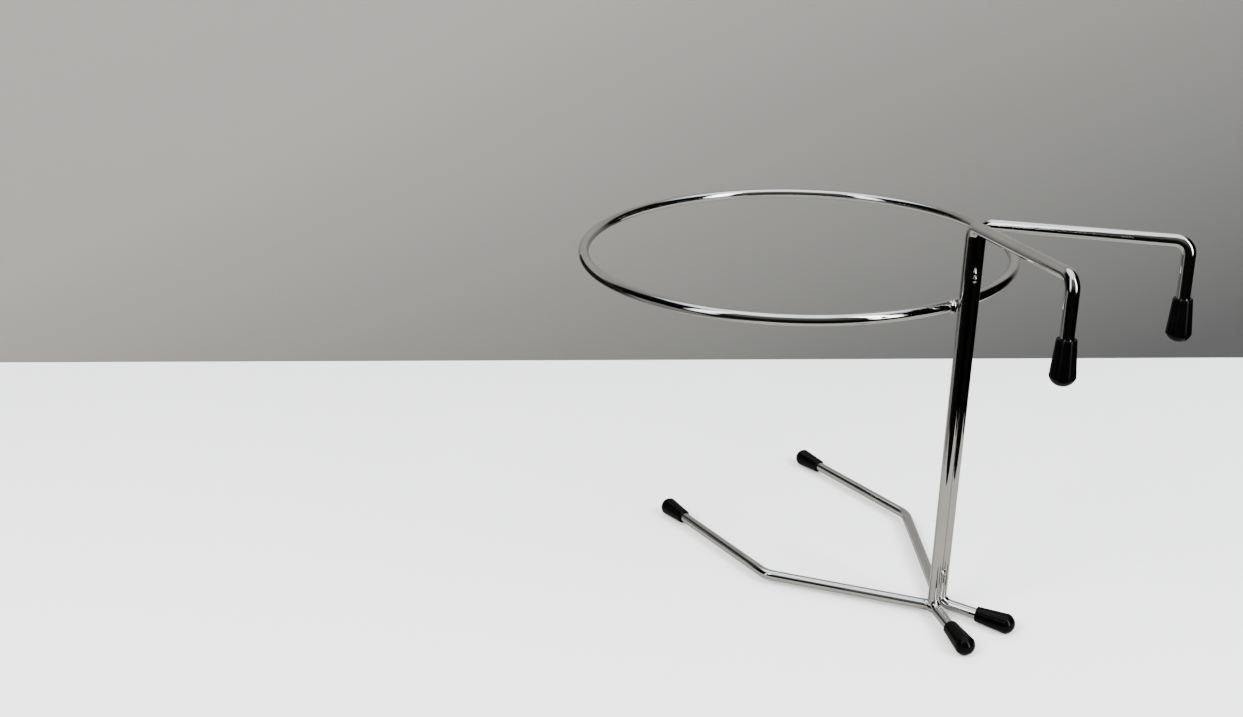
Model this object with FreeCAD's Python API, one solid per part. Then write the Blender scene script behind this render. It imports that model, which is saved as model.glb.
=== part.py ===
import FreeCAD
import Part
import math
import os

# Wire stand that carries a champagne bucket. Two mirrored side rods, a bucket ring and two legs are
# bent from one size of round wire and welded; six moulded caps cover the wire ends.
# Millimetres and degrees. +Z is up, +Y points from the ring to the hooks, X = 0 is the mirror plane.
# The origin is on the table plane, under the middle of the whole stand.

# Wire
WIRE_D = 5.0
WIRE_R = WIRE_D / 2
SIDE_BEND_R = 5.0        # centre-line radius of the bends near 90 degrees
LEG_BEND_R = 12.0        # centre-line radius of the gentle bend in each leg

# Bucket ring
RING_INNER_D = 200.0
RING_R = RING_INNER_D / 2 + WIRE_R
RING_Z = 151.5           # centre line above the table

# Side rods: foot, post, arm and hook
ARM_Z = 186.3            # arm centre line at the post
ARM_REACH = 76.2         # post axis to hook corner
ARM_SPREAD = 24.7        # each arm's angle off the mirror plane
ARM_RISE = 2.6           # arms climb a little towards the hooks
HOOK_DROP = 39.6         # hook corner to cap tip
HOOK_FLARE = 2.5         # hook tips stand out from the vertical
FOOT_REACH = 34.5        # post axis to cap tip
FOOT_SPREAD = 21.5

# Legs: a run away from the post, then a run parallel to the mirror plane
LEG_RUN_1 = 79.1
LEG_RUN_2 = 83.8         # bend corner to cap tip
LEG_SPREAD = 35.6

# Moulded end caps
CAP_LEN = 17.5
CAP_MOUTH_R = 3.5
CAP_BULB_R = 4.6
CAP_CONE_LEN = 13.7      # mouth to shoulder
CAP_SHOULDER_R = 1.2
CAP_LIP_R = 0.35         # rounding of the mouth's outer edge
CAP_BORE_DEPTH = 12.7
CAP_END_GAP = 0.2        # air between the wire's end and the bottom of the bore
CAP_SQUASH = 0.1         # flat worn on each cap that bears on the table

# Weld metal
RING_WELD_LEN = 7.6
RING_WELD_R = 2.3
POST_WELD_R = 1.45
UPPER_POST_WELD_Z = 165.0
UPPER_POST_WELD_LEN = 6.4
LOWER_POST_WELD_Z = 21.8
LOWER_POST_WELD_LEN = 4.6
LEG_WELD_LEN = 9.0
LEG_WELD_R = 2.3

# Derived places
WIRE_INSERT = CAP_BORE_DEPTH - CAP_END_GAP
CAP_COVER = CAP_LEN - WIRE_INSERT          # rubber beyond the wire's end
ROD_Z = CAP_BULB_R - CAP_SQUASH            # centre line of the feet and legs
POST_X = WIRE_R                            # the two posts touch at X = 0
POST_Y = math.sqrt((RING_R + WIRE_D) ** 2 - POST_X ** 2)   # and touch the outside of the ring
SIDES = {"left": -1, "right": 1}


def heading(side, spread, rise=0.0):
    """Unit vector that leaves the mirror plane by spread and climbs by rise, towards +Y."""
    flat = math.cos(math.radians(rise))
    return FreeCAD.Vector(side * math.sin(math.radians(spread)) * flat,
                          math.cos(math.radians(spread)) * flat,
                          math.sin(math.radians(rise)))


def post_point(side, z):
    return FreeCAD.Vector(side * POST_X, POST_Y, z)


def bent_wire(corners, bend_radii):
    """Round wire along straight runs that are joined at the inner corners by tangent arcs."""
    edges = []
    start = corners[0]
    for before, corner, after, radius in zip(corners, corners[1:], corners[2:], bend_radii):
        back = (before - corner).normalize()
        onward = (after - corner).normalize()
        half_angle = back.getAngle(onward) / 2
        tangent = radius / math.tan(half_angle)
        bisector = (back + onward).normalize()
        arc_middle = corner + bisector * (radius / math.sin(half_angle) - radius)
        arc_start = corner + back * tangent
        arc_end = corner + onward * tangent
        edges.append(Part.LineSegment(start, arc_start).toShape())
        edges.append(Part.Arc(arc_start, arc_middle, arc_end).toShape())
        start = arc_end
    edges.append(Part.LineSegment(start, corners[-1]).toShape())
    path = Part.Wire(edges)
    section = Part.Wire(Part.makeCircle(WIRE_R, corners[0], corners[1] - corners[0]))
    return path.makePipeShell([section], True, False)


def side_rod_corners(side):
    """Foot end, the three bends and the hook end, then the directions of the foot and the hook."""
    foot_dir = heading(side, FOOT_SPREAD)
    arm_dir = heading(side, ARM_SPREAD, ARM_RISE)
    hook_dir = heading(side, ARM_SPREAD, HOOK_FLARE - 90.0)
    post_foot = post_point(side, ROD_Z)
    post_top = post_point(side, ARM_Z)
    hook_corner = post_top + arm_dir * ARM_REACH
    foot_end = post_foot + foot_dir * (FOOT_REACH - CAP_COVER)
    hook_end = hook_corner + hook_dir * (HOOK_DROP - CAP_COVER)
    return [foot_end, post_foot, post_top, hook_corner, hook_end], foot_dir, hook_dir


def leg_corners(side):
    """Post axis, the bend and the leg's end, which points straight away from the posts."""
    out_dir = heading(-side, LEG_SPREAD) * -1
    tip_dir = FreeCAD.Vector(0, -1, 0)
    start = post_point(side, ROD_Z)
    corner = start + out_dir * LEG_RUN_1
    return [start, corner, corner + tip_dir * (LEG_RUN_2 - CAP_COVER)], tip_dir


def cap_profile():
    """Half section of a cap in the XZ plane: X is the radius, Z runs from the mouth to the tip."""
    def at(radius, along):
        return FreeCAD.Vector(radius, 0, along)

    def on_arc(centre, radius, angle):
        return centre + at(radius * math.cos(angle), radius * math.sin(angle))

    taper = math.atan2(CAP_BULB_R - CAP_MOUTH_R, CAP_CONE_LEN)
    cone_end = at(CAP_BULB_R, CAP_CONE_LEN)
    shoulder_centre = cone_end - at(math.cos(taper), -math.sin(taper)) * CAP_SHOULDER_R
    # The crown is an arc about the axis that meets the tip and runs smoothly into the shoulder.
    drop = shoulder_centre.z - CAP_LEN
    crown_r = (CAP_SHOULDER_R ** 2 - shoulder_centre.x ** 2 - drop ** 2) / (2 * (drop + CAP_SHOULDER_R))
    crown_centre = at(0, CAP_LEN - crown_r)
    meet = math.atan2(shoulder_centre.z - crown_centre.z, shoulder_centre.x)
    lip_centre = at(CAP_MOUTH_R - CAP_LIP_R, CAP_LIP_R)
    quarter = math.pi / 2
    lip_low = on_arc(lip_centre, CAP_LIP_R, -quarter)
    lip_side = on_arc(lip_centre, CAP_LIP_R, -taper)
    tip = at(0, CAP_LEN)
    crown_edge = on_arc(crown_centre, crown_r, meet)
    corners = [at(0, CAP_BORE_DEPTH), at(WIRE_R, CAP_BORE_DEPTH), at(WIRE_R, 0), lip_low]
    edges = [Part.LineSegment(a, b).toShape() for a, b in zip(corners, corners[1:])]
    edges.append(Part.Arc(lip_low, on_arc(lip_centre, CAP_LIP_R, -quarter / 2), lip_side).toShape())
    edges.append(Part.LineSegment(lip_side, cone_end).toShape())
    edges.append(Part.Arc(cone_end, on_arc(shoulder_centre, CAP_SHOULDER_R, (meet - taper) / 2),
                          crown_edge).toShape())
    edges.append(Part.Arc(crown_edge, on_arc(crown_centre, crown_r, (meet + quarter) / 2), tip).toShape())
    edges.append(Part.LineSegment(tip, corners[0]).toShape())
    return Part.Face(Part.Wire(edges))


def end_cap(wire_end, direction):
    """Cap pushed over a wire that ends at wire_end and points along direction."""
    origin = FreeCAD.Vector(0, 0, 0)
    z_axis = FreeCAD.Vector(0, 0, 1)
    cap = cap_profile().revolve(origin, z_axis, 360)
    mouth = wire_end - direction * WIRE_INSERT
    cap.Placement = FreeCAD.Placement(mouth, FreeCAD.Rotation(z_axis, direction))
    return cap


def table_cap(wire_end, direction):
    """Cap that bears on the table, where its lowest part is pressed flat."""
    corner = FreeCAD.Vector(wire_end.x - 2 * CAP_LEN, wire_end.y - 2 * CAP_LEN, -CAP_LEN)
    below_table = Part.makeBox(4 * CAP_LEN, 4 * CAP_LEN, CAP_LEN, corner)
    return trimmed(end_cap(wire_end, direction), below_table)


def trimmed(shape, *others):
    """What is left of a shape, as one solid, once each of the others is cut out of it."""
    for other in others:
        shape = shape.cut(other)
    return max(shape.Solids, key=lambda solid: solid.Volume)


def bead(middle, along, length, radius):
    """Bead of weld metal: a round run with domed ends, length long in all."""
    half_run = along * (length / 2 - radius)
    run = Part.makeCylinder(radius, length - 2 * radius, middle - half_run, along)
    domes = [Part.makeSphere(radius, middle - half_run), Part.makeSphere(radius, middle + half_run)]
    return run.multiFuse(domes).removeSplitter()


def ring_weld(rods):
    """Bead in the corner between the ring and the outer side of the right post."""
    middle = FreeCAD.Vector(2.05 * POST_X, RING_R + 0.55 * WIRE_R, RING_Z)
    return trimmed(bead(middle, FreeCAD.Vector(0, 0, 1), RING_WELD_LEN, RING_WELD_R), *rods)


def post_weld(z, length, rods):
    """Bead in the groove between the two posts, on the side away from the ring."""
    middle = FreeCAD.Vector(0, POST_Y + 0.68 * WIRE_R, z)
    return trimmed(bead(middle, FreeCAD.Vector(0, 0, 1), length, POST_WELD_R), *rods)


def leg_weld(rods):
    """Fillet between the right leg and foot, on their outer side."""
    middle = post_point(1, ROD_Z) + FreeCAD.Vector(0.65 * WIRE_R, 0, 0)
    return trimmed(bead(middle, FreeCAD.Vector(0, 1, 0), LEG_WELD_LEN, LEG_WELD_R), *rods)


def mirrored(shape):
    return shape.mirror(FreeCAD.Vector(0, 0, 0), FreeCAD.Vector(1, 0, 0))


def build():
    nodes = {"bucket_ring": Part.makeTorus(RING_R, WIRE_R, FreeCAD.Vector(0, 0, RING_Z))}
    for name, side in SIDES.items():
        corners, foot_dir, hook_dir = side_rod_corners(side)
        side_rod = bent_wire(corners, [SIDE_BEND_R] * 3)
        nodes[name + "_side_rod"] = side_rod
        nodes[name + "_foot_cap"] = table_cap(corners[0], foot_dir)
        nodes[name + "_hook_cap"] = end_cap(corners[-1], hook_dir)
        corners, tip_dir = leg_corners(side)
        nodes[name + "_leg_rod"] = trimmed(bent_wire(corners, [LEG_BEND_R]), side_rod)
        nodes[name + "_leg_cap"] = table_cap(corners[-1], tip_dir)
    right_post = nodes["right_side_rod"]
    posts = [nodes["left_side_rod"], right_post]
    nodes["right_ring_weld"] = ring_weld([nodes["bucket_ring"], right_post])
    nodes["right_leg_weld"] = leg_weld([right_post, nodes["right_leg_rod"]])
    nodes["left_ring_weld"] = mirrored(nodes["right_ring_weld"])
    nodes["left_leg_weld"] = mirrored(nodes["right_leg_weld"])
    nodes["upper_post_weld"] = post_weld(UPPER_POST_WELD_Z, UPPER_POST_WELD_LEN, posts)
    nodes["lower_post_weld"] = post_weld(LOWER_POST_WELD_Z, LOWER_POST_WELD_LEN, posts)
    return nodes


def centre_on_footprint(nodes):
    """Moves the stand along Y so that the origin is under the middle of its length."""
    bounds = Part.makeCompound(list(nodes.values())).optimalBoundingBox(False, False)
    for shape in nodes.values():
        shape.translate(FreeCAD.Vector(0, -bounds.Center.y, 0))


os.makedirs("parts", exist_ok=True)
stand = build()
centre_on_footprint(stand)
for node, shape in stand.items():
    shape.exportStep("parts/" + node + ".step")
    print(node, shape.ShapeType, len(shape.Solids), round(shape.Volume, 2), shape.isValid())
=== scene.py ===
import math

import bmesh
import bpy
from mathutils import Matrix, Vector, noise


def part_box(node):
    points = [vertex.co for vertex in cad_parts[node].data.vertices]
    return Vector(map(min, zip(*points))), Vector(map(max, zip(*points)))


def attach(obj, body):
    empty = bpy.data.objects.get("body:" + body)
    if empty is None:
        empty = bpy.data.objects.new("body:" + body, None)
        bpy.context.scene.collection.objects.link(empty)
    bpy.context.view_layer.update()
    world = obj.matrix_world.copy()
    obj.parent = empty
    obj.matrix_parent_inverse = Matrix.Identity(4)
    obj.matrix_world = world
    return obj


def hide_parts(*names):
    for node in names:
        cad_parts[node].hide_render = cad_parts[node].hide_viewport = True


# Looks for the champagne bucket stand. Metres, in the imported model's frame: +Z up, +Y from the ring to the
# hooks, X = 0 the mirror plane, origin on the table under the middle of the stand.

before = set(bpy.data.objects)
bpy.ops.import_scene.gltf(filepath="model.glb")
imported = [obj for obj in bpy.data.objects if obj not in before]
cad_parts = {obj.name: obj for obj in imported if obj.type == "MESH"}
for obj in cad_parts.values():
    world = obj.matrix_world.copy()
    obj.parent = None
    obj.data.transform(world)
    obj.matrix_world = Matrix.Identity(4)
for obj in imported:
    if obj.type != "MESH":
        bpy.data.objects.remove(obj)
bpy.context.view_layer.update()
MM = 0.001

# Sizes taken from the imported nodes
ring_lo, ring_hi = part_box("bucket_ring")
WIRE_R = (ring_hi[2] - ring_lo[2]) / 2
RING_Z = (ring_hi[2] + ring_lo[2]) / 2
RING_R = (ring_hi[0] - ring_lo[0]) / 2 - WIRE_R
RING_Y = (ring_hi[1] + ring_lo[1]) / 2
POST_X = WIRE_R
POST_Y = RING_Y + math.sqrt((RING_R + 2 * WIRE_R) ** 2 - POST_X ** 2)
ROD_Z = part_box("right_side_rod")[0][2] + WIRE_R

# Lengths and angles of the bent wires
SIDE_BEND_R = 5.0 * MM
LEG_BEND_R = 12.0 * MM
ARM_Z = 186.3 * MM
ARM_REACH = 76.2 * MM
ARM_SPREAD = 24.7
ARM_RISE = 2.6
HOOK_DROP = 39.6 * MM
HOOK_FLARE = 2.5
FOOT_REACH = 34.5 * MM
FOOT_SPREAD = 21.5
LEG_RUN_1 = 79.1 * MM
LEG_RUN_2 = 83.8 * MM
LEG_SPREAD = 35.6
CAP_LEN = 17.5 * MM
CAP_MOUTH_R = 3.5 * MM
CAP_BULB_R = 4.6 * MM
CAP_CONE_LEN = 13.7 * MM
CAP_SHOULDER_R = 1.2 * MM
CAP_LIP_R = 0.35 * MM
CAP_BORE_DEPTH = 12.7 * MM
WIRE_INSERT = 12.5 * MM
SIDES = {"left": -1, "right": 1}

AROUND = 40              # facets round a wire
CAP_AROUND = 64          # facets round a cap
ARC_STEP = math.radians(4.0)
RUN_STEP = 4.0 * MM
WELD_VOXEL = 0.16 * MM
RING_WELD_RIPPLE = 0.08 * MM
LEG_WELD_RIPPLE = 0.04 * MM
POST_WELD_RIPPLE = 0.03 * MM
RING_WELD_SEED, LEG_WELD_SEED, UPPER_WELD_SEED, LOWER_WELD_SEED = 3, 7, 11, 14


# ---------------------------------------------------------------- wires

def heading(side, spread, rise=0.0):
    flat = math.cos(math.radians(rise))
    return Vector((side * math.sin(math.radians(spread)) * flat,
                   math.cos(math.radians(spread)) * flat,
                   math.sin(math.radians(rise))))


def bent_path(corners, bend_radii):
    """Points and tangents along straight runs that are joined by tangent arcs."""
    points, tangents = [], []

    def run(a, b):
        direction = (b - a).normalized()
        count = max(1, round((b - a).length / RUN_STEP))
        for i in range(count + 1):
            points.append(a.lerp(b, i / count))
            tangents.append(direction)

    start = corners[0]
    for before, corner, after, radius in zip(corners, corners[1:], corners[2:], bend_radii):
        back, onward = (before - corner).normalized(), (after - corner).normalized()
        half = back.angle(onward) / 2
        tangent_len = radius / math.tan(half)
        centre = corner + (back + onward).normalized() * (radius / math.sin(half))
        arc_start, arc_end = corner + back * tangent_len, corner + onward * tangent_len
        run(start, arc_start)
        turn = math.pi - 2 * half
        axis = (-back).cross(onward).normalized()
        steps = max(2, math.ceil(turn / ARC_STEP))
        for i in range(1, steps):
            spin = Matrix.Rotation(turn * i / steps, 3, axis)
            points.append(centre + spin @ (arc_start - centre))
            tangents.append(spin @ -back)
        start = arc_end
    run(start, corners[-1])
    return points, tangents


def sweep(name, points, tangents, closed=False):
    """Tube of the wire's radius along a path, with rings that do not twist."""
    mesh_points = []
    first = tangents[0]
    normal = first.orthogonal().normalized()
    if abs(first.z) < 0.9:
        normal = (Vector((0, 0, 1)) - first * first.z).normalized()
    previous = first
    for point, tangent in zip(points, tangents):
        normal = previous.rotation_difference(tangent) @ normal
        normal = (normal - tangent * normal.dot(tangent)).normalized()
        side = tangent.cross(normal)
        for k in range(AROUND):
            a = 2 * math.pi * k / AROUND
            mesh_points.append(point + (normal * math.cos(a) + side * math.sin(a)) * WIRE_R)
        previous = tangent
    rings = len(points)
    faces = []
    for i in range(rings if closed else rings - 1):
        j = (i + 1) % rings
        for k in range(AROUND):
            m = (k + 1) % AROUND
            faces.append((i * AROUND + k, i * AROUND + m, j * AROUND + m, j * AROUND + k))
    if not closed:
        faces.append(tuple(reversed(range(AROUND))))
        faces.append(tuple((rings - 1) * AROUND + k for k in range(AROUND)))
    return make_object(name, mesh_points, faces)


def make_object(name, points, faces):
    mesh = bpy.data.meshes.new(name)
    mesh.from_pydata([tuple(p) for p in points], [], faces)
    mesh.update()
    bm = bmesh.new()
    bm.from_mesh(mesh)
    bmesh.ops.recalc_face_normals(bm, faces=bm.faces)
    bm.to_mesh(mesh)
    bm.free()
    for polygon in mesh.polygons:
        polygon.use_smooth = len(polygon.vertices) < AROUND
    obj = bpy.data.objects.new(name, mesh)
    bpy.context.collection.objects.link(obj)
    return obj


def post_point(side, z):
    """A point on a post's centre line."""
    return Vector((side * POST_X, POST_Y, z))


# ---------------------------------------------------------------- caps

def cap_outline():
    """Radius and distance from the mouth, from the bottom of the bore round to the tip."""
    def arc(centre_r, centre_z, radius, a0, a1, count):
        return [(centre_r + radius * math.cos(a0 + (a1 - a0) * i / count),
                 centre_z + radius * math.sin(a0 + (a1 - a0) * i / count)) for i in range(count + 1)]

    taper = math.atan2(CAP_BULB_R - CAP_MOUTH_R, CAP_CONE_LEN)
    shoulder_r = CAP_BULB_R - math.cos(taper) * CAP_SHOULDER_R
    shoulder_z = CAP_CONE_LEN + math.sin(taper) * CAP_SHOULDER_R
    drop = shoulder_z - CAP_LEN
    crown_r = (CAP_SHOULDER_R ** 2 - shoulder_r ** 2 - drop ** 2) / (2 * (drop + CAP_SHOULDER_R))
    crown_z = CAP_LEN - crown_r
    meet = math.atan2(shoulder_z - crown_z, shoulder_r)
    quarter = math.pi / 2
    lip_r = CAP_MOUTH_R - CAP_LIP_R
    outline = [(WIRE_R, CAP_BORE_DEPTH), (WIRE_R, 0.25 * MM)]
    outline += [(WIRE_R + 0.12 * MM, 0.06 * MM), (WIRE_R + 0.3 * MM, 0.0)]
    outline += arc(lip_r, CAP_LIP_R, CAP_LIP_R, -quarter, -taper, 5)
    last_r, last_z = outline[-1]
    for i in range(1, 12):
        t = i / 12
        outline.append((last_r + (CAP_BULB_R - last_r) * t, last_z + (CAP_CONE_LEN - last_z) * t))
    outline += arc(shoulder_r, shoulder_z, CAP_SHOULDER_R, -taper, meet, 7)
    outline += arc(0, crown_z, crown_r, meet, quarter, 14)[1:-1]
    return outline


def end_cap(name, mouth, direction, on_table):
    """A cap turned about its direction. One that bears on the table is flattened where it touches."""
    segments = CAP_AROUND
    outline = cap_outline()
    turn = Vector((0, 0, 1)).rotation_difference(direction)
    points = [mouth + turn @ Vector((0, 0, CAP_BORE_DEPTH))]
    for radius, along in outline:
        for k in range(segments):
            a = 2 * math.pi * k / segments
            points.append(mouth + turn @ Vector((radius * math.cos(a), radius * math.sin(a), along)))
    points.append(mouth + turn @ Vector((0, 0, CAP_LEN)))
    tip = len(points) - 1
    faces = []
    for k in range(segments):
        m = (k + 1) % segments
        faces.append((0, 1 + m, 1 + k))
        for i in range(len(outline) - 1):
            a, b = 1 + i * segments, 1 + (i + 1) * segments
            faces.append((a + k, a + m, b + m, b + k))
        last = 1 + (len(outline) - 1) * segments
        faces.append((last + k, last + m, tip))
    if on_table:
        for p in points:
            p.z = max(p.z, 0.0)
    return make_object(name, points, faces)


# ---------------------------------------------------------------- weld metal

def weld_lump(name, blobs, seed, ripple):
    """Several overlapping drops of weld metal, merged, then given ripples of a height."""
    bm = bmesh.new()
    for centre, radii in blobs:
        geo = bmesh.ops.create_icosphere(bm, subdivisions=4, radius=1.0)
        bmesh.ops.transform(bm, verts=geo["verts"],
                            matrix=Matrix.Translation(centre) @ Matrix.Diagonal((*radii, 1.0)))
    mesh = bpy.data.meshes.new(name)
    bm.to_mesh(mesh)
    bm.free()
    obj = bpy.data.objects.new(name, mesh)
    bpy.context.collection.objects.link(obj)
    remesh = obj.modifiers.new("merge", "REMESH")
    remesh.mode = "VOXEL"
    remesh.voxel_size = WELD_VOXEL
    smooth = obj.modifiers.new("melt", "SMOOTH")
    smooth.factor = 0.7
    smooth.iterations = 9
    graph = bpy.context.evaluated_depsgraph_get()
    melted = bpy.data.meshes.new_from_object(obj.evaluated_get(graph))
    obj.modifiers.clear()
    obj.data = melted
    melted.name = name
    offset = Vector((seed * 1.7, seed * 0.9, seed * 2.3))
    normals = [v.normal.copy() for v in melted.vertices]
    for vertex, normal in zip(melted.vertices, normals):
        wave = noise.noise(vertex.co / (1.1 * MM) + offset) * ripple
        wave += noise.noise(vertex.co / (0.45 * MM) + offset) * 0.3 * ripple
        vertex.co += normal * wave
    for polygon in melted.polygons:
        polygon.use_smooth = True
    return obj


# ---------------------------------------------------------------- materials

class Shader:
    """Wires one Principled material. Textures follow the object's own coordinates."""

    def __init__(self, name):
        self.material = bpy.data.materials.new(name)
        self.material.use_nodes = True
        self.tree = self.material.node_tree
        self.bsdf = self.tree.nodes["Principled BSDF"]
        self.coords = self.tree.nodes.new("ShaderNodeTexCoord").outputs["Object"]

    def node(self, kind, **values):
        made = self.tree.nodes.new(kind)
        for key, value in values.items():
            if key in made.inputs:
                made.inputs[key].default_value = value
            else:
                setattr(made, key, value)
        return made

    def link(self, a, b):
        self.tree.links.new(a, b)

    def noise(self, scale, detail=4.0, rough=0.55):
        made = self.node("ShaderNodeTexNoise", Scale=scale, Detail=detail, Roughness=rough)
        self.link(self.coords, made.inputs["Vector"])
        return made.outputs["Fac"]

    def cells(self, scale):
        made = self.node("ShaderNodeTexVoronoi", Scale=scale)
        self.link(self.coords, made.inputs["Vector"])
        return made.outputs["Distance"]

    def ramp(self, source, stops):
        made = self.node("ShaderNodeValToRGB")
        elements = made.color_ramp.elements
        while len(elements) < len(stops):
            elements.new(0.5)
        for element, (place, colour) in zip(elements, stops):
            element.position = place
            element.color = (*colour, 1.0) if isinstance(colour, tuple) else (colour, colour, colour, 1.0)
        self.link(source, made.inputs["Fac"])
        return made.outputs["Color"]

    def mix(self, factor, a, b):
        made = self.node("ShaderNodeMix", data_type="RGBA", blend_type="MIX")
        for place, value in ((0, factor), (6, a), (7, b)):
            if hasattr(value, "is_linked"):
                self.link(value, made.inputs[place])
            elif isinstance(value, tuple):
                made.inputs[place].default_value = (*value, 1.0)
            else:
                made.inputs[place].default_value = value
        return made.outputs[2]

    def bump(self, height, distance, strength, under=None):
        made = self.node("ShaderNodeBump", Strength=strength, Distance=distance)
        self.link(height, made.inputs["Height"])
        if under is not None:
            self.link(under, made.inputs["Normal"])
        return made.outputs["Normal"]


def chrome_material():
    s = Shader("chrome")
    s.bsdf.inputs["Metallic"].default_value = 1.0
    tone = s.ramp(s.noise(60.0), [(0.3, (0.50, 0.50, 0.495)), (0.7, (0.585, 0.585, 0.58))])
    pits = s.ramp(s.cells(900.0), [(0.03, 0.0), (0.09, 1.0)])
    where = s.ramp(s.noise(38.0, 2.0), [(0.56, 0.0), (0.66, 1.0)])
    few_pits = s.mix(where, (1.0, 1.0, 1.0), pits)
    s.link(s.mix(few_pits, (0.16, 0.15, 0.14), tone), s.bsdf.inputs["Base Color"])
    smear = s.noise(210.0, 6.0, 0.65)
    s.link(s.ramp(smear, [(0.35, 0.025), (0.75, 0.085)]), s.bsdf.inputs["Roughness"])
    waves = s.bump(s.noise(150.0, 2.0, 0.4), 0.00012, 0.35)
    fine = s.bump(s.noise(2600.0, 3.0), 0.00001, 0.25, waves)
    s.link(s.bump(few_pits, 0.00004, 0.5, fine), s.bsdf.inputs["Normal"])
    return s.material


def weld_material():
    s = Shader("weld")
    s.bsdf.inputs["Metallic"].default_value = 1.0
    tone = s.ramp(s.noise(700.0, 5.0), [(0.3, (0.34, 0.335, 0.325)), (0.7, (0.56, 0.56, 0.555))])
    s.link(tone, s.bsdf.inputs["Base Color"])
    s.link(s.ramp(s.noise(900.0, 4.0), [(0.3, 0.06), (0.75, 0.22)]), s.bsdf.inputs["Roughness"])
    s.link(s.bump(s.noise(1300.0, 4.0), 0.00008, 0.4), s.bsdf.inputs["Normal"])
    return s.material


def rubber_material():
    s = Shader("rubber")
    tone = s.ramp(s.noise(180.0, 5.0), [(0.3, (0.0004, 0.0004, 0.00042)), (0.75, (0.0012, 0.0012, 0.00125))])
    dust = s.ramp(s.noise(1500.0, 6.0, 0.7), [(0.66, 0.0), (0.82, 1.0)])
    s.link(s.mix(dust, tone, (0.005, 0.0049, 0.0047)), s.bsdf.inputs["Base Color"])
    s.bsdf.inputs["Specular IOR Level"].default_value = 0.08
    s.link(s.ramp(s.noise(420.0, 5.0, 0.6), [(0.3, 0.06), (0.75, 0.14)]), s.bsdf.inputs["Roughness"])
    grain = s.bump(s.noise(2400.0, 4.0), 0.00002, 0.25)
    s.link(s.bump(s.noise(260.0, 3.0), 0.00012, 0.25, grain), s.bsdf.inputs["Normal"])
    return s.material


# ---------------------------------------------------------------- build the pieces

CHROME, WELD, RUBBER = chrome_material(), weld_material(), rubber_material()


def finish_piece(obj, node, material):
    obj.data.materials.clear()
    obj.data.materials.append(material)
    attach(obj, "root")
    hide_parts(node)


def build_ring():
    count = 240
    centre = Vector((0, RING_Y, RING_Z))
    points, tangents = [], []
    for i in range(count):
        a = 2 * math.pi * i / count
        points.append(centre + Vector((math.sin(a), math.cos(a), 0)) * RING_R)
        tangents.append(Vector((math.cos(a), -math.sin(a), 0)))
    finish_piece(sweep("ring_hoop", points, tangents, closed=True), "bucket_ring", CHROME)


def build_side(label, side):
    cover = CAP_LEN - WIRE_INSERT
    foot_dir = heading(side, FOOT_SPREAD)
    arm_dir = heading(side, ARM_SPREAD, ARM_RISE)
    hook_dir = heading(side, ARM_SPREAD, HOOK_FLARE - 90.0)
    foot, top = post_point(side, ROD_Z), post_point(side, ARM_Z)
    hook_corner = top + arm_dir * ARM_REACH
    foot_end = foot + foot_dir * (FOOT_REACH - cover)
    hook_end = hook_corner + hook_dir * (HOOK_DROP - cover)
    path = bent_path([foot_end, foot, top, hook_corner, hook_end], [SIDE_BEND_R] * 3)
    finish_piece(sweep(label + "_hook_post_foot", *path), label + "_side_rod", CHROME)
    rod_ends = (("foot", foot_end, foot_dir, True), ("hook", hook_end, hook_dir, False))
    for part, end, direction, on_table in rod_ends:
        cap = end_cap(label + "_" + part + "_tip", end - direction * WIRE_INSERT, direction, on_table)
        finish_piece(cap, label + "_" + part + "_cap", RUBBER)

    out_dir = -heading(-side, LEG_SPREAD)
    tip_dir = Vector((0, -1, 0))
    corner = foot + out_dir * LEG_RUN_1
    leg_end = corner + tip_dir * (LEG_RUN_2 - cover)
    path = bent_path([foot + out_dir * (0.6 * WIRE_R), corner, leg_end], [LEG_BEND_R])
    finish_piece(sweep(label + "_leg", *path), label + "_leg_rod", CHROME)
    cap = end_cap(label + "_leg_tip", leg_end - tip_dir * WIRE_INSERT, tip_dir, True)
    finish_piece(cap, label + "_leg_cap", RUBBER)
    build_side_welds(label, side, foot, out_dir, foot_dir)


def build_side_welds(label, side, foot, out_dir, foot_dir):
    r = WIRE_R
    corner = Vector((side * 2.0 * POST_X, RING_Y + RING_R + 0.5 * r, RING_Z))
    blobs = [(corner, (0.74 * r, 0.76 * r, 1.12 * r)),
             (corner + Vector((side * 0.42 * r, -0.22 * r, 0.30 * r)), (0.64 * r, 0.68 * r, 0.82 * r)),
             (corner + Vector((side * 0.1 * r, 0.1 * r, -0.50 * r)), (0.58 * r, 0.66 * r, 0.78 * r))]
    bead = weld_lump(label + "_ring_bead", blobs, RING_WELD_SEED + side, RING_WELD_RIPPLE)
    finish_piece(bead, label + "_ring_weld", WELD)
    reach = side * 0.66 * r
    blobs = [(foot + Vector((reach, 0, 0)), (0.92 * r, 1.75 * r, 0.88 * r)),
             (foot + out_dir * (1.15 * r), (1.07 * r, 1.07 * r, 1.06 * r)),
             (foot + foot_dir * (1.0 * r) + Vector((side * 0.2 * r, 0, 0)), (0.92 * r, 1.0 * r, 0.92 * r))]
    bead = weld_lump(label + "_leg_bead", blobs, LEG_WELD_SEED + side, LEG_WELD_RIPPLE)
    finish_piece(bead, label + "_leg_weld", WELD)


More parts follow.
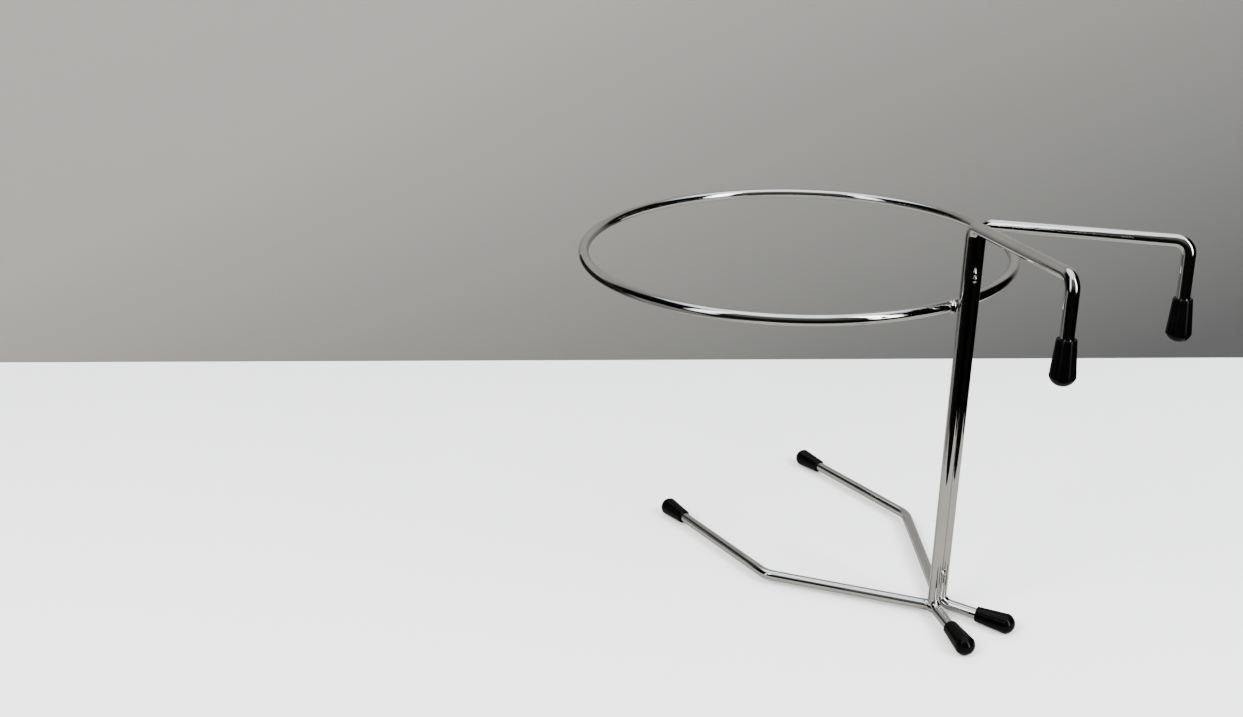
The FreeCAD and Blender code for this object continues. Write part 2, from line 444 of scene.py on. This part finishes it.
def build_post_welds():
    """The upper one is two small drops in the groove; the lower one is a flat oval that fills it."""
    r = WIRE_R
    for name, node, seed in (("upper_bead", "upper_post_weld", UPPER_WELD_SEED),
                             ("lower_bead", "lower_post_weld", LOWER_WELD_SEED)):
        lo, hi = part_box(node)
        half = (hi[2] - lo[2]) / 2
        middle = Vector((0, POST_Y, (hi[2] + lo[2]) / 2))
        if name == "upper_bead":
            out, shift, drop = 0.57 * r, Vector((0.08 * r, 0, 0.42 * half)), (0.54 * r, 0.52 * r, 0.58 * half)
        else:
            out, shift, drop = 0.72 * r, Vector((0.06 * r, 0, 0.12 * half)), (0.80 * r, 0.52 * r, 0.94 * half)
        middle.y += out
        blobs = [(middle + shift, drop), (middle - shift, drop)]
        finish_piece(weld_lump(name, blobs, seed, POST_WELD_RIPPLE), node, WELD)


build_ring()
for label, side in SIDES.items():
    build_side(label, side)
build_post_welds()


# ---------------------------------------------------------------- camera

VIEW_DIR = Vector((-0.50691, -0.77088, -0.38572))
VIEW_RIGHT = Vector((-0.83112, 0.55578, -0.01852))
CAMERA_AT = Vector((0.35899, 0.35234, 0.31272))
LENS_MM, SENSOR_MM = 32.37, 36.0


def build_camera():
    data = bpy.data.cameras.new("camera")
    data.lens, data.sensor_width = LENS_MM, SENSOR_MM
    data.clip_start, data.clip_end = 0.01, 50.0
    camera = bpy.data.objects.new("camera", data)
    back = -VIEW_DIR.normalized()
    right = (VIEW_RIGHT - back * VIEW_RIGHT.dot(back)).normalized()
    up = back.cross(right)
    camera.matrix_world = Matrix((
        (right.x, up.x, back.x, CAMERA_AT.x),
        (right.y, up.y, back.y, CAMERA_AT.y),
        (right.z, up.z, back.z, CAMERA_AT.z),
        (0, 0, 0, 1)))
    bpy.context.collection.objects.link(camera)
    bpy.context.scene.camera = camera


# ---------------------------------------------------------------- stage and light

TOWARDS = Vector((-VIEW_DIR.x, -VIEW_DIR.y, 0)).normalized()     # from the stand to the camera, level
LEFT = Vector((TOWARDS.y, -TOWARDS.x, 0))                         # picture left
POST = Vector((0, POST_Y, 0))


def stage_plane(name, corners, material, camera=True, glossy=True, diffuse=True, shadow=True):
    mesh = bpy.data.meshes.new(name)
    mesh.from_pydata([tuple(c) for c in corners], [], [(0, 1, 2, 3)])
    obj = bpy.data.objects.new(name, mesh)
    mesh.materials.append(material)
    obj.visible_camera, obj.visible_glossy, obj.visible_diffuse = camera, glossy, diffuse
    obj.visible_shadow = camera and shadow
    bpy.context.collection.objects.link(obj)
    return obj


def plain_material(name, colour, roughness=0.9):
    s = Shader(name)
    s.bsdf.inputs["Roughness"].default_value = roughness
    s.bsdf.inputs["Specular IOR Level"].default_value = 0.15
    darker = tuple(c * 0.985 for c in colour)
    s.link(s.ramp(s.noise(3.0, 2.0), [(0.35, darker), (0.65, colour)]), s.bsdf.inputs["Base Color"])
    return s.material


def fading_material(name, along, span, first, last):
    """A matt surface whose tone changes evenly along a direction, over a span of distances."""
    s = Shader(name)
    s.bsdf.inputs["Roughness"].default_value = 0.9
    s.bsdf.inputs["Specular IOR Level"].default_value = 0.15
    place = s.node("ShaderNodeVectorMath", operation="DOT_PRODUCT")
    place.inputs[1].default_value = along
    s.link(s.coords, place.inputs[0])
    share = s.node("ShaderNodeMapRange")
    share.inputs["From Min"].default_value, share.inputs["From Max"].default_value = span
    s.link(place.outputs["Value"], share.inputs["Value"])
    s.link(s.ramp(share.outputs[0], [(0.0, first), (1.0, last)]), s.bsdf.inputs["Base Color"])
    return s.material


def one_sided(material):
    """Shows the front of a backdrop only, so that it never hides the stand from behind."""
    tree = material.node_tree
    output = next(n for n in tree.nodes if n.type == "OUTPUT_MATERIAL")
    surface = output.inputs["Surface"].links[0].from_socket
    mix = tree.nodes.new("ShaderNodeMixShader")
    clear = tree.nodes.new("ShaderNodeBsdfTransparent")
    facing = tree.nodes.new("ShaderNodeNewGeometry")
    tree.links.new(facing.outputs["Backfacing"], mix.inputs[0])
    tree.links.new(surface, mix.inputs[1])
    tree.links.new(clear.outputs[0], mix.inputs[2])
    tree.links.new(mix.outputs[0], output.inputs["Surface"])
    return material


def build_stage():
    # Painted shade: the floor's tone darkens from the camera's side towards the back wall, where less light
    # falls.
    floor = fading_material("pale_floor", TOWARDS, (-0.30, 0.20),
                            (0.76, 0.785, 0.785), (0.93, 0.945, 0.94))
    # Painted shade: the table that only the chrome sees is dimmer than the floor, and darker still towards
    # picture left, where the bucket shades it.
    shaded_cloth = fading_material("reflected_table", LEFT, (0.10, 0.14),
                            (0.24, 0.232, 0.215), (0.083, 0.080, 0.075))
    black = plain_material("black_card", (0.004, 0.004, 0.004))
    # Painted reflection: the drum is lighter near its foot, where the bucket mirrored the pale table, and
    # near black above.
    drum_with_painted_reflection = fading_material("bucket_side", Vector((0, 0, 1)), (0.03, 0.09), (0.11, 0.106, 0.098),
                            (0.004, 0.004, 0.004))
    # Painted shade: the wall is darker low down and towards picture right, and paler high up and towards
    # picture left, as the light falls off.
    wall = one_sided(fading_material("grey_wall", LEFT * 0.5 + Vector((0, 0, 1)), (-0.14, 0.34),
                                     (0.045, 0.0453, 0.0446), (0.172, 0.1665, 0.157)))
    size = 4.0
    stage_plane("floor", [(-size, -size, 0), (size, -size, 0), (size, size, 0), (-size, size, 0)], floor,
                glossy=False)

    def spot(towards, left, z=0.0):
        return POST + TOWARDS * towards + LEFT * left + Vector((0, 0, z))

    lift = 0.3 * MM
    near, far, on_right, on_left = 0.132, -0.30, -0.190, 0.70
    stage_plane("table_in_reflections",
                [spot(near, on_right, lift), spot(far, on_right, lift), spot(far, on_left, lift),
                 spot(near, on_left, lift)],
                shaded_cloth, camera=False, diffuse=False)

    # Dark shapes that only the chrome shows: a low card in front, and a plain drum where the bucket stood.
    # They, the reflected table and the world's lamps were placed to suit the camera's own view. From
    # elsewhere they are only a plausible room.
    # The black card is a painted reflection of shade: a dark sheet that gives the chrome the unlit room in
    # front.
    card_towards, card_left, card_half, card_height = 0.107, 0.170, 0.06, 0.125
    card_turn = math.radians(42.0)
    across = (TOWARDS * math.cos(card_turn) - LEFT * math.sin(card_turn)) * card_half
    foot = spot(card_towards, card_left)
    up = Vector((0, 0, card_height))
    stage_plane("card_in_reflections", [foot - across, foot + across, foot + across + up, foot - across + up],
                black, camera=False, diffuse=False)
    bucket = Vector((0.160, -0.207, 0))
    bucket_r, bucket_height, sides = 0.085, 0.165, 16
    for i in range(sides):
        a, b = (Vector((math.cos(t), math.sin(t), 0)) * bucket_r + bucket
                for t in (2 * math.pi * i / sides, 2 * math.pi * (i + 1) / sides))
        up = Vector((0, 0, bucket_height))
        stage_plane("bucket_in_reflections_%d" % i, [a, b, b + up, a + up], drum_with_painted_reflection,
                    camera=False, diffuse=False)

    # Four walls round the floor, each seen from inside only. The back one runs a little nearer on the right.
    back_at_left, back_at_right, front_wall, right_wall, left_wall = -0.336, -0.288, 0.75, -0.40, 0.75
    corners = [spot(back_at_left, left_wall), spot(back_at_right, right_wall),
               spot(front_wall, right_wall), spot(front_wall, left_wall)]
    height = Vector((0, 0, 2.2))
    for i, start in enumerate(corners):
        end = corners[(i + 1) % len(corners)]
        stage_plane("wall_%d" % i, [start, end, end + height, start + height], wall,
                    glossy=False, diffuse=False, shadow=False)


class Sky:
    """Colours by direction, for the world: turn is degrees from the camera's side towards picture left."""

    def __init__(self, tree):
        self.tree = tree
        direction = tree.nodes.new("ShaderNodeTexCoord").outputs["Generated"]
        split = tree.nodes.new("ShaderNodeSeparateXYZ")
        tree.links.new(direction, split.inputs[0])
        self.height = self.rescaled(split.outputs["Z"], -1.0, 1.0)
        bearing = tree.nodes.new("ShaderNodeMath")
        bearing.operation = "ARCTAN2"
        for socket, axis in zip(bearing.inputs, (LEFT, TOWARDS)):
            dot = tree.nodes.new("ShaderNodeVectorMath")
            dot.operation = "DOT_PRODUCT"
            dot.inputs[1].default_value = axis
            tree.links.new(direction, dot.inputs[0])
            tree.links.new(dot.outputs["Value"], socket)
        self.turn = self.rescaled(bearing.outputs[0], -math.pi, math.pi)

    def rescaled(self, value, low, high):
        made = self.tree.nodes.new("ShaderNodeMapRange")
        made.inputs["From Min"].default_value = low
        made.inputs["From Max"].default_value = high
        self.tree.links.new(value, made.inputs["Value"])
        return made.outputs[0]

    def ramp(self, source, stops):
        made = self.tree.nodes.new("ShaderNodeValToRGB")
        elements = made.color_ramp.elements
        while len(elements) < len(stops):
            elements.new(0.5)
        for element, (place, value) in zip(elements, stops):
            element.position = place
            element.color = (*value, 1.0) if isinstance(value, tuple) else (value, value, value, 1.0)
        self.tree.links.new(source, made.inputs[0])
        return made.outputs[0]

    def by_turn(self, stops):
        return self.ramp(self.turn, [((degrees + 180.0) / 360.0, value) for degrees, value in stops])

    def by_height(self, stops):
        return self.ramp(self.height, [((math.sin(math.radians(degrees)) + 1.0) / 2.0, value)
                                       for degrees, value in stops])

    def mix(self, factor, a, b, blend="MIX"):
        made = self.tree.nodes.new("ShaderNodeMix")
        made.data_type, made.blend_type = "RGBA", blend
        for place, value in ((0, factor), (6, a), (7, b)):
            if isinstance(value, float):
                made.inputs[place].default_value = value
            elif isinstance(value, tuple):
                made.inputs[place].default_value = (*value, 1.0)
            else:
                self.tree.links.new(value, made.inputs[place])
        return made.outputs[2]


WORLD_STRENGTH = 4.0


def build_world():
    """A dim room for the chrome to show: a bright ceiling, two tall lamps in front and a grey wall behind."""
    world = bpy.data.worlds.new("room")
    bpy.context.scene.world = world
    world.use_nodes = True
    tree = world.node_tree
    sky = Sky(tree)
    dark, wall, glow = 0.0010, (0.140, 0.136, 0.128), (0.046, 0.044, 0.040)
    lamp_colour, ceiling, behind = (3.80, 3.80, 3.76), (0.58, 0.622, 0.66), (0.060, 0.058, 0.055)
    right_lamp, left_lamp = 1.0, 0.32
    walls = sky.by_turn([(-180, wall), (-138, wall), (-124, dark), (112, dark), (130, wall), (180, wall)])
    wall_shade = sky.by_height([(-32, 0.22), (-14, 0.40), (2, 0.72), (22, 1.0), (45, 0.75)])
    walls = sky.mix(1.0, walls, wall_shade, "MULTIPLY")
    lamps = sky.by_turn([(-47, 0.0), (-43, right_lamp), (-34, right_lamp), (-29, 0.0),
                         (44, 0.0), (48, left_lamp), (57, left_lamp), (63, 0.0)])
    lamps = sky.mix(1.0, lamps, sky.by_height([(-12, 0.0), (6, 1.0)]), "MULTIPLY")
    lamps = sky.mix(1.0, lamps, lamp_colour, "MULTIPLY")
    front = sky.by_turn([(-30, 0.0), (-24, glow), (40, glow), (48, 0.0)])
    front = sky.mix(1.0, front, sky.by_height([(-2, 0.03), (10, 0.25), (24, 0.8), (36, 1.0)]), "MULTIPLY")
    room = sky.mix(1.0, sky.mix(1.0, walls, lamps, "ADD"), front, "ADD")
    room = sky.mix(sky.by_height([(50, 0.0), (62, 1.0)]), room, ceiling)

    light_path = tree.nodes.new("ShaderNodeLightPath").outputs
    soft = sky.by_height([(20, 0.006), (34, 0.60)])
    seen = sky.mix(light_path["Is Glossy Ray"], soft, room)
    seen = sky.mix(light_path["Is Camera Ray"], seen, behind)
    background = tree.nodes["Background"]
    tree.links.new(seen, background.inputs["Color"])
    background.inputs["Strength"].default_value = WORLD_STRENGTH


def area_light(name, place, target, width, power, colour):
    """A square soft light, hidden from the chrome, which shows the world's own lamps."""
    data = bpy.data.lights.new(name, "AREA")
    data.shape = "RECTANGLE"
    data.size, data.size_y = width, width
    data.energy = power
    data.color = colour
    light = bpy.data.objects.new(name, data)
    light.location = place
    light.rotation_euler = (target - place).to_track_quat("-Z", "Y").to_euler()
    light.visible_glossy = False
    bpy.context.collection.objects.link(light)


def build_lights():
    middle = Vector((0, 0, 0.05))
    up = Vector((0, 0, 1))
    left_place = middle + TOWARDS * 0.9 + LEFT * 1.3 + up * 1.5
    right_place = middle + TOWARDS * 0.9 - LEFT * 1.3 + up * 1.4
    area_light("left_softbox", left_place, middle, 0.9, 70.0, (1.0, 0.985, 0.96))
    area_light("right_softbox", right_place, middle, 0.8, 56.0, (0.96, 0.98, 1.0))


build_camera()
build_stage()
build_world()
build_lights()
